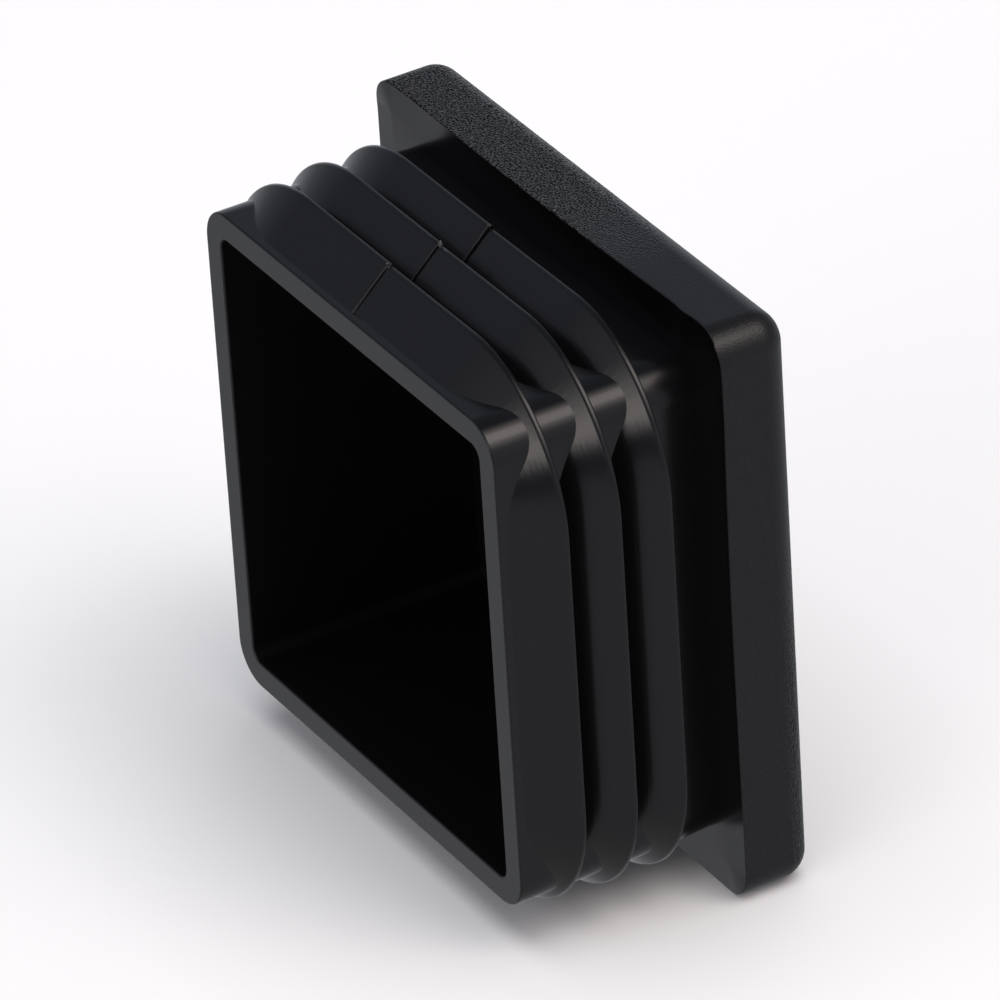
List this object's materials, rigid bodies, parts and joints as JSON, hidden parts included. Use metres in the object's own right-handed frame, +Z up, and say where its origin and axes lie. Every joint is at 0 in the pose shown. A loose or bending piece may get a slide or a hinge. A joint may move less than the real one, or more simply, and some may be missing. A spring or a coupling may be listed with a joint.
{
  "type": "tube end cap",
  "caption": "Square end cap that closes a square tube: a flat head on a hollow plug whose sawtooth ribs grip the tube's inside.",
  "frame": {"origin": "on the table under the middle of the cap's bounding box, with the cap lying on one side of its head", "axes": "+Z up, +Y along the plug's axis out of the head's closed outer face, -Y out of the plug's open mouth, +X to the right seen from the mouth"},
  "size_m": [0.04, 0.019, 0.04],
  "materials": {
    "moulding": "black injection-moulded polyethylene, smooth and slightly glossy on the plug, fine spark-eroded grain on the head's sides and face"
  },
  "bodies": {
    "root": {"end_cap": "moulding"}
  },
  "joints": []
}
